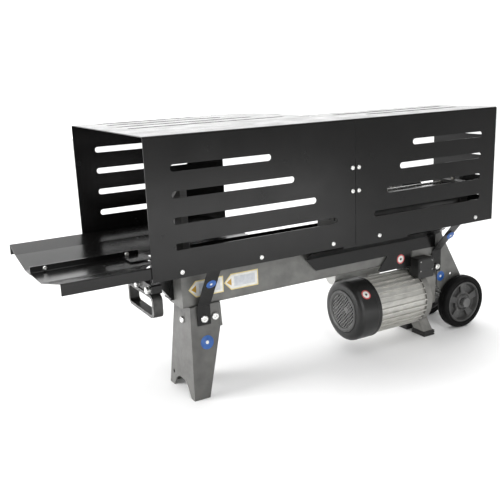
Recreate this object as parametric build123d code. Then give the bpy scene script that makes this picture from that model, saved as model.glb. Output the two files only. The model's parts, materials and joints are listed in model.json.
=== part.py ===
from build123d import *
from math import cos, pi, sin, radians
import os

# Horizontal electric log splitter, in millimetres.
# Design frame: x runs along the beam from the wedge end of the guard to the motor end, y runs from the
# near guard panel to the far one, z is height above the ground. Every piece is moved by ORIGIN on export,
# so that the row's origin is the middle of the outer box, on the ground.

# Overall sizes
GUARD_LENGTH = 1000.0
GUARD_WIDTH = 492.0
HEIGHT = 613.0
TRAY_REACH = 190.0

# Guard sheets
SHEET = 2.0
GUARD_BOTTOM = 310.0
SEAM_X = 530.5
SEAM_GAP = 1.4
BEND_R = 4.0
FAR_PANEL_END = 409.0
RIGHT_HOOD_DEPTH = 226.0
SLOT_R = 7.3
SLOT_ROWS = 4
SLOT_TOP_Z = 545.0
SLOT_PITCH = 55.5
LEFT_SLOT_START = 55.5
LEFT_SLOT_END = 298.0
LEFT_SLOT_STEP = 59.5
FAR_SLOT_END = 261.0
RIGHT_SLOT_END = 949.5
RIGHT_SLOT_START = 709.0
RIGHT_SLOT_STEP = 40.5
TOP_SLOT_Y = 231.0
TOP_SLOT_PITCH = 73.7
TOP_SLOT_END = 478.0
TOP_SLOT_STEP = 53.0

# Beam and bed
BEAM_X0, BEAM_X1 = 92.0, 880.0
BEAM_Y0, BEAM_Y1 = 65.0, 145.0
BEAM_Z0, BEAM_Z1 = 216.0, 316.0
BEAM_WALL = 4.0
MID_Y = (BEAM_Y0 + BEAM_Y1) / 2
BED_Y0, BED_Y1 = 55.0, 155.0
BED_TOP = 324.0
BED_X1 = 975.0

# Wedge, pusher and cylinder
WEDGE_EDGE_X = 136.0
WEDGE_TOP = 498.0
PUSHER_FACE_X = 530.0
PUSHER_PLATE = 22.0
PUSHER_TOP = 446.0
CYL_Z = 368.0
CYL_R = 36.0
CYL_BORE_R = 30.0
ROD_R = 16.0
HEAD_X0, HEAD_X1 = 576.0, 604.0
CAP_X0, CAP_X1 = 944.0, 968.0
HEAD_HALF = 44.0

# Tray
TRAY_X1 = 72.0
TRAY_NEAR_Y, TRAY_FAR_Y = 3.0, 484.0
SKIRT = 26.0
TRAY_BOLT_X = (-156.0, 42.6)
TRAY_BOLT_Z = 310.0
FAR_SHEET_X1 = 405.0

# Leg and lower bolts
LEG_FOOT_HALF = 69.0
LEG_LEAN = 0.1175
LEG_FOOT_X = 94.0
LEG_SET_BACK = 0.06
LEG_BOLT_X = (138.0, 167.0)
LEG_BOLT_Z = 187.0
LEG_END_BOLT_Y = 100.0
LEG_TAB_Y = 53.5
REAR_TAB_X, REAR_TAB_Z = 856.0, 186.0
HANDLE_BOLT_Y = (64.0, 128.0)
FILLER_AT = (120.0, 290.0)
FILLER_R = 8.0

# Motor, pump and wheels
MOTOR_Y, MOTOR_Z = 92.0, 107.0
HOUSING_X0, HOUSING_X1 = 612.0, 785.0
HOUSING_R = 70.0
FIN_R = 76.0
COVER_X0, COVER_X1 = 556.0, 626.0
COVER_R = 81.0
FLANGE_X1 = 815.0
PUMP_X1 = 858.0
SHAFT_R = 11.0
SHAFT_END_R = 8.5
SEAT_R = 20.0
CORE_X0, CORE_X1 = 650.0, 758.0
FAN_X0 = 570.0
PAD_H = 14.0
GEAR_TEETH = 10
GEAR_TIP_R = 17.0
GEAR_ROOT_R = 12.0
GEAR_CENTRES = 30.0
WHEEL_X, WHEEL_R = 934.0, 75.0
WHEEL_Y0, WHEEL_Y1 = 24.0, 57.0
AXLE_R = 8.0
AXLE_PLATE = 4.0
ORIGIN = ((WHEEL_X + WHEEL_R - TRAY_REACH) / 2, GUARD_WIDTH / 2, 0.0)
RUN = 0.05

# Fasteners
SCREW_HEAD_R = 5.5
SCREW_HEAD_H = 3.3
SCREW_R = 2.9
GUARD_SCREW_X = (67.6, 263.6, 463.0, 604.0, 936.0)
GUARD_SCREW_Z = 323.0
AXES = {"x": Axis.X, "y": Axis.Y, "z": Axis.Z}


def block(x0, x1, y0, y1, z0, z1):
    """Box between two corners."""
    return Pos((x0 + x1) / 2, (y0 + y1) / 2, (z0 + z1) / 2) * Box(x1 - x0, y1 - y0, z1 - z0)


def rod(axis, start, end, a, b, radius):
    """Round bar along one axis; a and b are its place on the two other axes, in x, y, z order."""
    bar = Cylinder(radius, end - start, align=(Align.CENTER, Align.CENTER, Align.MIN))
    if axis == "x":
        return Pos(start, a, b) * Rot(0, 90, 0) * bar
    if axis == "y":
        return Pos(a, start, b) * Rot(-90, 0, 0) * bar
    return Pos(a, b, start) * bar


def tube(axis, start, end, a, b, outer, inner):
    """Round tube along one axis."""
    return rod(axis, start, end, a, b, outer) - rod(axis, start - 1, end + 1, a, b, inner)


def prism(plane, points, low, high):
    """Flat outline in the xz, yz or xy plane, given thickness from low to high on the third axis."""
    if plane == "xz":
        corners = [(p, low, q) for p, q in points]
        way = (0, 1, 0)
    elif plane == "yz":
        corners = [(low, p, q) for p, q in points]
        way = (1, 0, 0)
    else:
        corners = [(p, q, low) for p, q in points]
        way = (0, 0, 1)
    outline = make_face(Polyline(*corners, close=True))
    return extrude(outline, amount=high - low, dir=way)


def folded(points, x0, x1, thickness, bend, side=Side.LEFT):
    """Sheet folded along x: its section is a rounded path of (y, z) points given thickness to one side."""
    path = FilletPolyline(*points, radius=bend)
    section = make_face(offset(path, amount=thickness, side=side))
    upright = Plane(origin=(x0, 0, 0), x_dir=(0, 1, 0), z_dir=(1, 0, 0))
    return extrude(upright * section, amount=x1 - x0)


def obround(axis, start, end, across, low, high, normal):
    """Cutter for a slot with round ends, from start to end along axis, through low..high on normal."""
    a, b = start + SLOT_R, end - SLOT_R
    if normal == "y":
        body = block(a, b, low, high, across - SLOT_R, across + SLOT_R)
        return body + rod("y", low, high, a, across, SLOT_R) + rod("y", low, high, b, across, SLOT_R)
    if normal == "z":
        body = block(a, b, across - SLOT_R, across + SLOT_R, low, high)
        return body + rod("z", low, high, a, across, SLOT_R) + rod("z", low, high, b, across, SLOT_R)
    body = block(low, high, a, b, across - SLOT_R, across + SLOT_R)
    return body + rod("x", low, high, a, across, SLOT_R) + rod("x", low, high, b, across, SLOT_R)


def pan_screw(axis, sign, face, a, b, length, head_r=SCREW_HEAD_R, head_h=SCREW_HEAD_H, shank=SCREW_R):
    """Round-head screw; sign is the way its head points along axis, face the seat under the head."""
    low, high = sorted((face, face + sign * head_h))
    head = rod(axis, low, high, a, b, head_r)
    rims = head.edges().filter_by(GeomType.CIRCLE).sort_by(AXES[axis])
    head = fillet(rims[-1] if sign > 0 else rims[0], head_h * 0.7)
    low, high = sorted((face, face - sign * length))
    return head + rod(axis, low, high, a, b, shank)


def hex_bolt(axis, sign, face, a, b, length, flats, head_h, shank):
    """Hexagon-head bolt, placed as pan_screw."""
    hexagon = extrude(RegularPolygon(flats / 2, 6, major_radius=False), amount=head_h)
    shaft = Pos(0, 0, -length) * Cylinder(shank, length, align=(Align.CENTER, Align.CENTER, Align.MIN))
    bolt = hexagon + shaft
    turns = {"x": Rot(0, 90 * sign, 0), "y": Rot(-90 * sign, 0, 0), "z": Rot(90 - 90 * sign, 0, 0)}
    places = {"x": (face, a, b), "y": (a, face, b), "z": (a, b, face)}
    return Pos(*places[axis]) * turns[axis] * bolt


def group(pieces):
    """Several separate solids kept as one node."""
    solids = []
    for piece in pieces:
        solids.extend(piece.solids())
    return Compound(children=solids)


def slot_rows(first, ends, y0, y1):
    """Horizontal slots of one panel, top row first."""
    cutters = []
    for row in range(SLOT_ROWS):
        z = SLOT_TOP_Z - SLOT_PITCH * row
        cutters.append(obround("x", first(row), ends(row), z, y0, y1, "y"))
    return cutters


def hole_y(x, z, radius, y0, y1):
    """Cutter for a round hole along y."""
    return rod("y", y0, y1, x, z, radius)


# ---------------------------------------------------------------- guard
def brace_tab(x0, x1, foot_x, bolt_z, fold_z, inner_y):
    """Strip cut with the near panel and bent in to the frame; foot_x shifts its lower end along x."""
    shift = foot_x - (x0 + x1) / 2
    outer = [(x0, GUARD_BOTTOM), (x1, GUARD_BOTTOM), (x1 + shift, fold_z), (x0 + shift, fold_z)]
    slope = prism("xz", outer, -1, BEAM_Y0)
    wall = [(0, GUARD_BOTTOM), (SHEET, GUARD_BOTTOM), (inner_y + SHEET, fold_z), (inner_y, fold_z)]
    slope = slope & prism("yz", wall, x0 - 60, x1 + 60)
    foot = block(x0 + shift, x1 + shift, inner_y, inner_y + SHEET, bolt_z - 15, fold_z)
    return slope + foot - hole_y(foot_x, bolt_z, 5.0, 0, BEAM_Y0)


def left_hood():
    """Wide hood over the splitting space: near panel, top and far panel in one folded sheet."""
    x1 = SEAM_X - SEAM_GAP / 2
    path = [(0, GUARD_BOTTOM), (0, HEIGHT), (GUARD_WIDTH, HEIGHT), (GUARD_WIDTH, GUARD_BOTTOM)]
    hood = folded(path, 0, x1, SHEET, BEND_R, Side.RIGHT)
    corner = x1 - FAR_PANEL_END
    waste = block(FAR_PANEL_END, x1 + 1, GUARD_WIDTH - corner, GUARD_WIDTH + 1, GUARD_BOTTOM - 1, HEIGHT + 1)
    hood -= waste - rod("z", GUARD_BOTTOM - 2, HEIGHT + 2, FAR_PANEL_END, GUARD_WIDTH - corner, corner)
    for y0 in (-1, GUARD_WIDTH - SHEET - 1):
        y1 = y0 + SHEET + 2
        starts = lambda row: LEFT_SLOT_START
        ends = lambda row: LEFT_SLOT_END + LEFT_SLOT_STEP * row
        if y0 > 0:
            ends = lambda row: min(FAR_SLOT_END + LEFT_SLOT_STEP * row, FAR_PANEL_END - 40)
        for cutter in slot_rows(starts, ends, y0, y1):
            hood -= cutter
    for row in range(SLOT_ROWS):
        y = TOP_SLOT_Y + TOP_SLOT_PITCH * row
        end = TOP_SLOT_END - TOP_SLOT_STEP * row
        hood -= obround("x", LEFT_SLOT_START, end, y, HEIGHT - SHEET - 1, HEIGHT + 1, "z")
    for x in GUARD_SCREW_X[:3]:
        hood -= hole_y(x, GUARD_SCREW_Z, SCREW_R, -1, SHEET + 1)
    for x in GUARD_SCREW_X[:2]:
        hood -= hole_y(x, GUARD_SCREW_Z, SCREW_R, GUARD_WIDTH - SHEET - 1, GUARD_WIDTH + 1)
    for cutter in seam_holes(-1):
        hood -= cutter
    return hood + brace_tab(126, 159, LEG_BOLT_X[0], LEG_BOLT_Z, 217, LEG_TAB_Y)


def right_hood():
    """Narrow hood over the ram: near panel, top and slotted end plate; its far side is open."""
    x0 = SEAM_X + SEAM_GAP / 2
    path = [(0, GUARD_BOTTOM), (0, HEIGHT), (RIGHT_HOOD_DEPTH, HEIGHT)]
    hood = folded(path, x0, GUARD_LENGTH, SHEET, BEND_R, Side.RIGHT)
    inside = GUARD_LENGTH - SHEET
    hood += block(inside, GUARD_LENGTH, 1.5, RIGHT_HOOD_DEPTH, GUARD_BOTTOM, HEIGHT - 1.5)
    starts = lambda row: RIGHT_SLOT_START - RIGHT_SLOT_STEP * row
    ends = lambda row: RIGHT_SLOT_END
    for cutter in slot_rows(starts, ends, -1, SHEET + 1):
        hood -= cutter
    for row in range(SLOT_ROWS):
        z = SLOT_TOP_Z - SLOT_PITCH * row
        hood -= obround("y", 42, 188, z, inside - 1, GUARD_LENGTH + 1, "x")
    for row in range(2):
        y = 96.0 + 60.0 * row
        start = 640.0 - 60.0 * row
        hood -= obround("x", start, RIGHT_SLOT_END, y, HEIGHT - SHEET - 1, HEIGHT + 1, "z")
    for x in GUARD_SCREW_X[3:]:
        hood -= hole_y(x, GUARD_SCREW_Z, SCREW_R, -1, SHEET + 1)
    for cutter in seam_holes(1):
        hood -= cutter
    hood -= rod("x", inside - 1, GUARD_LENGTH + 1, RIGHT_HOOD_DEPTH - 14, 318, SCREW_R)
    return hood + brace_tab(850, 882, REAR_TAB_X, REAR_TAB_Z, 232, BEAM_Y0 - 4 - SHEET)


SEAM_OFFSET = 9.2
SEAM_SCREW_Z = (443.3, 499.0)
SEAM_SCREW_Y = (128.0, 172.0)


def seam_holes(side):
    """Screw holes beside the seam, on the near panel and on the top."""
    x = SEAM_X + side * SEAM_OFFSET
    cutters = [hole_y(x, z, SCREW_R, -1, SHEET + 1) for z in SEAM_SCREW_Z]
    for y in SEAM_SCREW_Y:
        cutters.append(rod("z", HEIGHT - SHEET - 1, HEIGHT + 1, x, y, SCREW_R))
    return cutters


def joining_plates():
    """Flat straps behind the seam that hold the hoods together, and a bar behind their bottom edge."""
    near = block(SEAM_X - 19, SEAM_X + 19, SHEET, SHEET + 3, 424, 518)
    top = block(SEAM_X - 19, SEAM_X + 19, 112, 188, HEIGHT - SHEET - 3, HEIGHT - SHEET)
    for side in (-1, 1):
        x = SEAM_X + side * SEAM_OFFSET
        for z in SEAM_SCREW_Z:
            near -= hole_y(x, z, SCREW_R, 0, 10)
        for y in SEAM_SCREW_Y:
            top -= rod("z", HEIGHT - 10, HEIGHT, x, y, SCREW_R)
    rail = block(495, 698, SHEET, SHEET + 4, 304, 312)
    return group([near, top, rail])


def guard_screws():
    """Round-head screws along the bottom edges of the guard, at the end plate and beside the seam."""
    screws = [pan_screw("y", -1, 0, x, GUARD_SCREW_Z, 9) for x in GUARD_SCREW_X]
    screws += [pan_screw("y", 1, GUARD_WIDTH, x, GUARD_SCREW_Z, 9) for x in GUARD_SCREW_X[:2]]
    screws.append(pan_screw("x", -1, GUARD_LENGTH - SHEET, RIGHT_HOOD_DEPTH - 14, 318, SHEET, 4.5, 2.5))
    for side in (-1, 1):
        x = SEAM_X + side * SEAM_OFFSET
        screws += [pan_screw("y", -1, 0, x, z, 8) for z in SEAM_SCREW_Z]
        screws += [rod("z", HEIGHT - 8, HEIGHT, x, y, SCREW_R) for y in SEAM_SCREW_Y]
    return group(screws)


# ---------------------------------------------------------------- tray and bed wings
def tray_near():
    """Near half of the out-feed tray: skirt, sloping facet, flat and an upstand."""
    path = [(TRAY_NEAR_Y, 344 - SKIRT), (TRAY_NEAR_Y, 344), (172, 304), (272, 301), (272, 317)]
    sheet = folded(path, -TRAY_REACH, TRAY_X1, SHEET, 3, Side.RIGHT)
    notch = [(-14, 9), (TRAY_X1 + 1, 188), (TRAY_X1 + 1, 9)]
    sheet -= prism("xy", notch, 290, 350)
    sheet += block(TRAY_X1 - 1, 84, TRAY_NEAR_Y, TRAY_NEAR_Y + SHEET, 344 - SKIRT, 343)
    for x in TRAY_BOLT_X:
        sheet -= hole_y(x, TRAY_BOLT_Z, 3.0, 260, 280)
    return sheet - hole_y(GUARD_SCREW_X[0], GUARD_SCREW_Z, SCREW_R, 0, 10)


def tray_far():
    """Far half of the out-feed tray, carried on past the wedge as the bed's far sheet."""
    low = 26.0
    rise = [(325, 296), (425, 312), (TRAY_FAR_Y - SHEET, 329), (TRAY_FAR_Y - SHEET, 329 - low)]
    sheet = folded([(274, 317), (274, 297)] + rise, -TRAY_REACH, TRAY_X1, SHEET, 3, Side.LEFT)
    sheet += folded([(275, 297)] + rise, TRAY_X1 - 1, FAR_SHEET_X1, SHEET, 3, Side.LEFT)
    sheet -= prism("xy", [(352, 490), (FAR_SHEET_X1 + 1, 490), (FAR_SHEET_X1 + 1, 428)], 280, 350)
    for x in TRAY_BOLT_X:
        sheet -= hole_y(x, TRAY_BOLT_Z, 3.0, 260, 290)
    for x in GUARD_SCREW_X[:2]:
        sheet -= hole_y(x, GUARD_SCREW_Z, SCREW_R, 470, 490)
    return sheet


def bed_wing_near():
    """Near side sheet of the log bed, from the guard's skirt in to the beam."""
    path = [(TRAY_NEAR_Y, 344 - SKIRT), (TRAY_NEAR_Y, 344), (46, 334), (46, 296)]
    wing = folded(path, 96, 528, SHEET, 3, Side.RIGHT)
    for x in GUARD_SCREW_X[1:3]:
        wing -= hole_y(x, GUARD_SCREW_Z, SCREW_R, 0, 10)
    return wing


def bed_wing_far():
    """Far shelf of the log bed: inner flange, flat and a low upright edge against the far sheet."""
    path = [(164, 292), (164, 301), (275, 298), (275, 307)]
    return folded(path, 130, 684, SHEET, 2.5, Side.LEFT)


def support_brackets():
    """Lugs that carry the bed wings, and the motor's hanger."""
    lugs = [motor_hanger()]
    for x in (180, 340, 490):
        lugs.append(block(x, x + 24, 46, BEAM_Y0, 300, 308))
        lugs.append(block(x, x + 24, BEAM_Y1, 162, 293, 299))
    return group(lugs)


# ---------------------------------------------------------------- frame
def beam():
    """Rectangular steel tube that is the machine's backbone and oil tank."""
    outer = block(BEAM_X0, BEAM_X1, BEAM_Y0, BEAM_Y1, BEAM_Z0, BEAM_Z1)
    outer = fillet(outer.edges().filter_by(Axis.X), 6)
    w = BEAM_WALL
    hollow = block(BEAM_X0 + w, BEAM_X1 - w, BEAM_Y0 + w, BEAM_Y1 - w, BEAM_Z0 + w, BEAM_Z1 - w)
    return outer - hollow - rod("x", BEAM_X1 - 5, BEAM_X1 + 1, *FILLER_AT, FILLER_R)


def bed_plate():
    """Flat plate on the beam that logs lie on; its edges guide the pusher."""
    return block(BEAM_X0, BED_X1, BED_Y0, BED_Y1, BEAM_Z1, BED_TOP)


def wedge():
    """Splitting wedge: a sharp upright edge facing the pusher, widening away from it."""
    back_x, half, z0 = 96.0, 17.0, BED_TOP
    outline = [(WEDGE_EDGE_X, MID_Y), (112, MID_Y + half), (back_x, MID_Y + half)]
    outline += [(back_x, MID_Y - half), (112, MID_Y - half)]
    body = prism("xy", outline, z0, WEDGE_TOP)
    slope = [(back_x - 1, WEDGE_TOP - 30), (back_x - 1, WEDGE_TOP + 1), (WEDGE_EDGE_X - 16, WEDGE_TOP + 1)]
    body -= prism("xz", slope, MID_Y - 30, MID_Y + 30)
    foot = block(back_x, back_x + 30, MID_Y - 40, MID_Y + 40, z0, z0 + 12)
    return body + foot


def end_bracket():
    """Black bracket on the beam's wedge end and the block on it that clamps the lifting handle."""
    plate = block(84, BEAM_X0, 112, 150, 226, 306)
    arm = block(38, 84, 116, 146, 262, 290) + prism("xz", [(60, 262), (84, 262), (84, 230)], 116, 146)
    clamp = fillet(block(14, 38, 48, 186, 268, 290).edges().filter_by(Axis.X), 4)
    shelf = block(28, 84, 205, 268, 304.5, 307) + block(76, 84, 140, 210, 262, 307)
    bracket = clamp + arm + plate + shelf
    for y in HANDLE_BOLT_Y:
        bracket -= rod("x", 13, 39, y, 277, 5)
    return bracket


def handle_loop():
    """Flat steel bar bent into a closed loop with round corners."""
    wide, bar = 24.0, 6.5
    outer = extrude(RectangleRounded(150, 53, 15), amount=wide)
    inner = extrude(RectangleRounded(150 - 2 * bar, 53 - 2 * bar, 9), amount=wide + 2)
    loop = outer - Pos(0, 0, -1) * inner
    upright = Plane(origin=(11, 115, 241.5), x_dir=(0, 1, 0), z_dir=(1, 0, 0))
    return upright * loop


def leg_half(z):
    """Half the leg's outer width at a height."""
    return LEG_FOOT_HALF - LEG_LEAN * z


def leg_front(z):
    """The leg's end face, which leans, at a height."""
    return LEG_FOOT_X + LEG_SET_BACK * z


def leg_wedge(z0, z1, inset, x1):
    """Tapered solid inside the leg's outline, from z0 to z1, inset from its outer faces."""
    spread = []
    for way, z in ((-1, z0), (1, z0), (1, z1), (-1, z1)):
        spread.append((MID_Y + way * (leg_half(z) - inset), z))
    side = [(leg_front(z0) + inset, z0), (x1, z0), (x1, z1), (leg_front(z1) + inset, z1)]
    return prism("yz", spread, 80, 220) & prism("xz", side, 0, 220)


def front_leg():
    """Tapered stand folded from sheet: an end face with an arch, and two splayed sides."""
    t = 3.0
    outline = [(80, 0), (134, 0), (180, 166), (180, BEAM_Z0), (80, BEAM_Z0)]
    shell = leg_wedge(0, BEAM_Z0, 0, 200) & prism("xz", outline, 0, 220)
    shell -= leg_wedge(-1, BEAM_Z0 + 1, t, 201)
    shell -= prism("yz", [(54, -1), (151, -1), (136, 24), (120, 33), (90, 33), (74, 24)], 80, 104)
    shell -= rod("x", 80, 104, 152, 34, 5)
    for x in LEG_BOLT_X:
        shell -= hole_y(x, LEG_BOLT_Z, 5.0, 0, 220)
    return shell - rod("x", 80, 125, LEG_END_BOLT_Y, LEG_BOLT_Z - 8, 5.0)


def leg_bracket():
    """Saddle under the beam that the leg bolts to, its wings just inside the leg's sides."""
    wings = leg_wedge(160, BEAM_Z0, 3, 186) - leg_wedge(159, BEAM_Z0 - 4, 7, 187)
    for x in LEG_BOLT_X:
        wings -= hole_y(x, LEG_BOLT_Z, 5.0, 0, 220)
    return wings - rod("x", 80, 125, LEG_END_BOLT_Y, LEG_BOLT_Z - 8, 5.0)


def side_shroud():
    """Bent cover sheet over the near axle plate and along the beam, cut at a slant at its wedge end."""
    inner = BEAM_Y0 - AXLE_PLATE - SHEET
    sheet = folded([(inner, 244), (inner, 276), (22, 300)], 416, 850, SHEET, 2.5, Side.RIGHT)
    corner = [(410, 290), (410, 240), (457, 240), (416, 285)]
    sheet -= prism("xz", corner, 0, 80)
    skirt = [(683, 246), (651, 208), (660, 203), (763, 203), (763, 246)]
    return sheet + prism("xz", skirt, inner, inner + SHEET)


def axle_plate(y0):
    """Side plate that carries the axle."""
    outline = [(770, 226), (770, 300), (856, 308), (950, 148), (966, 75), (956, 54), (920, 50)]
    outline += [(905, 75), (862, 130), (862, 226)]
    low, high = y0 - 1, y0 + AXLE_PLATE + 1
    plate = prism("xz", outline, y0, y0 + AXLE_PLATE)
    plate -= hole_y(WHEEL_X, WHEEL_R, AXLE_R, low, high)
    plate -= hole_y(913.6, 155, 4.0, low, high)
    return plate - hole_y(REAR_TAB_X, REAR_TAB_Z, 5.0, low, high)


def axle_plates():
    """Both side plates."""
    return group([axle_plate(BEAM_Y0 - AXLE_PLATE), axle_plate(BEAM_Y1)])


def frame_bolts():
    """Bolts of the tray's upstands, the handle, the leg and the rear tab."""
    bolts = [pan_screw("y", -1, 272, x, TRAY_BOLT_Z, 10, 5.2, 3.6, 3.0) for x in TRAY_BOLT_X]
    bolts += [hex_bolt("x", -1, 14, y, 277, 22, 15.5, 8, 4.8) for y in HANDLE_BOLT_Y]
    lean = MID_Y - leg_half(LEG_BOLT_Z)
    for i, x in enumerate(LEG_BOLT_X):
        near_seat = LEG_TAB_Y if i == 0 else lean - 1.2
        bolts.append(pan_screw("y", -1, near_seat, x, LEG_BOLT_Z, lean + 12 - near_seat, 9, 5, 4.9))
        bolts.append(pan_screw("y", 1, 2 * MID_Y - lean + 1.2, x, LEG_BOLT_Z, 12, 9, 5, 4.9))
    bolts.append(pan_screw("x", -1, leg_front(170) - 0.4, LEG_END_BOLT_Y, LEG_BOLT_Z - 8, 12, 8, 4.5, 4.9))
    seat = BEAM_Y0 - AXLE_PLATE - SHEET
    washer = rod("y", seat - 1.6, seat, REAR_TAB_X, REAR_TAB_Z, 9)
    bolts.append(washer + hex_bolt("y", -1, seat - 1.6, REAR_TAB_X, REAR_TAB_Z, 7.6, 10, 6, 4.9))
    return group(bolts)


# ---------------------------------------------------------------- wheels
def axle():
    """Straight axle through both side plates and both wheels."""
    return rod("y", WHEEL_Y0 - 4, 2 * MID_Y - WHEEL_Y0 + 4, WHEEL_X, WHEEL_R, AXLE_R)


def tyre(y0, y1):
    """Solid rubber tyre with rounded shoulders."""
    ring = tube("y", y0, y1, WHEEL_X, WHEEL_R, WHEEL_R, 58)
    rims = [e for e in ring.edges().filter_by(GeomType.CIRCLE) if e.radius > WHEEL_R - 1]
    return fillet(rims, 7)


def hub(y0, y1):
    """Plastic wheel hub: rim ring, web with five openings, ribs and a long boss."""
    mid = (y0 + y1) / 2
    body = tube("y", y0 + 3, y1 - 3, WHEEL_X, WHEEL_R, 57.9, 49)
    body += tube("y", mid - 3, mid + 3, WHEEL_X, WHEEL_R, 50, 14)
    body += tube("y", y0 + 1, y1 - 1, WHEEL_X, WHEEL_R, 17, AXLE_R + RUN)
    for i in range(5):
        angle = 2 * pi * i / 5 + pi / 2
        x, z = WHEEL_X + 33 * cos(angle), WHEEL_R + 33 * sin(angle)
        body -= rod("y", y0, y1, x, z, 9.5)
    return body - rod("y", y0 - 1, y1 + 1, WHEEL_X, WHEEL_R, AXLE_R + RUN)


def axle_caps():
    """Push-on caps at both ends of the axle."""
    caps = []
    for y, way in ((WHEEL_Y0, -1), (2 * MID_Y - WHEEL_Y0, 1)):
        low, high = sorted((y - way * 0.6, y + way * 8))
        cap = rod("y", low, high, WHEEL_X, WHEEL_R, 13)
        caps.append(cap - rod("y", *sorted((y - way * 1, y + way * 4)), WHEEL_X, WHEEL_R, AXLE_R))
    return group(caps)


# ---------------------------------------------------------------- hydraulic ram
def cylinder_tube():
    """Honed cylinder tube between the two heads."""
    return tube("x", HEAD_X1, CAP_X0, MID_Y, CYL_Z, CYL_R, CYL_BORE_R)


def front_head():
    """Front head that the rod runs through, standing on the bed plate."""
    head = block(HEAD_X0, HEAD_X1, MID_Y - HEAD_HALF, MID_Y + HEAD_HALF, BED_TOP, CYL_Z + HEAD_HALF)
    head = fillet(head.edges().filter_by(Axis.X), 5)
    head -= rod("x", HEAD_X0 - 1, HEAD_X1 + 1, MID_Y, CYL_Z, ROD_R + RUN)
    for y, z in tie_places():
        head -= rod("x", HEAD_X0 - 1, HEAD_X1 + 1, y, z, 4.0)
    return head


def rear_head():
    """Rear head that closes the cylinder."""
    cap = block(CAP_X0, CAP_X1, MID_Y - HEAD_HALF, MID_Y + HEAD_HALF, BED_TOP, CYL_Z + HEAD_HALF)
    cap = fillet(cap.edges().filter_by(Axis.X), 5)
    for y, z in tie_places():
        cap -= rod("x", CAP_X0 - 1, CAP_X1 + 1, y, z, 4.0)
    return cap


def cylinder_heads():
    """Both cylinder heads."""
    return group([front_head(), rear_head()])


def tie_places():
    """Centres of the four tie rods."""
    return [(MID_Y + sy * 34, CYL_Z + sz * 34) for sy in (-1, 1) for sz in (-1, 1)]


def tie_rods():
    """Tie rods with a nut at each end."""
    pieces = []
    for y, z in tie_places():
        bar = rod("x", HEAD_X0, CAP_X1, y, z, 4.0)
        nuts = hex_bolt("x", 1, CAP_X1, y, z, 1, 12, 6, 4.0)
        pieces.append(bar + nuts)
    return group(pieces)


def piston():
    """Piston with a groove for its seal."""
    x0 = HEAD_X1 + 324
    body = rod("x", x0, x0 + 14, MID_Y, CYL_Z, CYL_BORE_R - RUN)
    body -= tube("x", x0 + 4, x0 + 10, MID_Y, CYL_Z, CYL_BORE_R + 1, 25)
    return body - rod("x", x0 - 1, x0 + 15, MID_Y, CYL_Z, 10)


def piston_seal():
    """Ring seal in the piston's groove."""
    x0 = HEAD_X1 + 328
    return tube("x", x0, x0 + 6, MID_Y, CYL_Z, CYL_BORE_R - RUN, 25)


def piston_rod():
    """Hard-chromed rod from the piston to the pusher."""
    x0 = HEAD_X1 + 324
    bar = rod("x", PUSHER_FACE_X + PUSHER_PLATE, x0, MID_Y, CYL_Z, ROD_R)
    return bar + rod("x", x0 - 1, x0 + 14, MID_Y, CYL_Z, 10)


def pusher():
    """Pusher plate with a toothed face, a foot that slides on the bed and a rear gusset."""
    x0 = PUSHER_FACE_X
    plate = block(x0, x0 + PUSHER_PLATE, 50, 160, BED_TOP + 0.3, PUSHER_TOP)
    plate = fillet(plate.edges().filter_by(Axis.X).group_by(Axis.Z)[-1], 14)
    for i in range(5):
        y = 66.0 + 19.5 * i
        groove = [(x0 - 1, y - 4), (x0 + 4, y), (x0 - 1, y + 4)]
        plate -= prism("xy", groove, BED_TOP + 30, PUSHER_TOP + 1)
    gusset = prism("xz", [(x0 + 21, BED_TOP + 1), (x0 + 43, BED_TOP + 1), (x0 + 21, BED_TOP + 22)], 85, 125)
    return plate + gusset


def pusher_shoes():
    """Guide shoes that wrap the bed plate's edges and keep the pusher down."""
    x0, x1 = PUSHER_FACE_X, PUSHER_FACE_X + 44
    z1 = BED_TOP + 12
    groove = block(x0 - 1, x1 + 1, BED_Y0 - 0.3, 63, BEAM_Z1 - 0.3, BED_TOP + 0.3)
    near = block(x0, x1, 48.5, BED_Y0 + 6, BEAM_Z1 - 6, z1) - groove
    near -= block(x0 - 1, x0 + PUSHER_PLATE, 50, 63, BED_TOP + 0.2, z1 + 1)
    far = mirror(near, Plane.XZ.offset(-MID_Y))
    return group([near, far])


# ---------------------------------------------------------------- valve and controls
VALVE_X0, VALVE_X1 = 716.0, 776.0
VALVE_Y0, VALVE_Y1 = 156.0, 196.0
VALVE_Z0, VALVE_Z1 = 330.0, 392.0
SPOOL_X, SPOOL_Y = 746.0, 176.0
SPOOL_R = 7.0
LEVER_PIN_X, LEVER_PIN_Z = 758.0, 412.0


def valve_block():
    """Spool valve body beside the cylinder: upright bore, foot, and two cheeks for the lever's pin."""
    body = block(VALVE_X0, VALVE_X1, VALVE_Y0, VALVE_Y1, VALVE_Z0, VALVE_Z1)
    body = fillet(body.edges().filter_by(Axis.Z), 5)
    body -= rod("z", VALVE_Z0 + 8, VALVE_Z1 + 1, SPOOL_X, SPOOL_Y, SPOOL_R + RUN)
    body += block(VALVE_X0 + 10, VALVE_X1 - 10, BED_Y1, VALVE_Y0 + 1, BEAM_Z1, VALVE_Z0 + 20)
    cheek = [(750, VALVE_Z1 - 1), (774, VALVE_Z1 - 1), (768, 422), (750, 422)]
    for y0 in (VALVE_Y0 + 4, VALVE_Y1 - 8):
        body += prism("xz", cheek, y0, y0 + 4)
    return body - hole_y(LEVER_PIN_X, LEVER_PIN_Z, 4.0, VALVE_Y0, VALVE_Y1)


def spool():
    """Valve spool with three lands; its top stands out of the body under the lever."""
    z0 = VALVE_Z0 + 26
    bar = rod("z", z0, VALVE_Z1 + 9, SPOOL_X, SPOOL_Y, SPOOL_R - 2)
    for z in (z0, z0 + 14, z0 + 28):
        bar += rod("z", z, z + 7, SPOOL_X, SPOOL_Y, SPOOL_R)
    return bar


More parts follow.
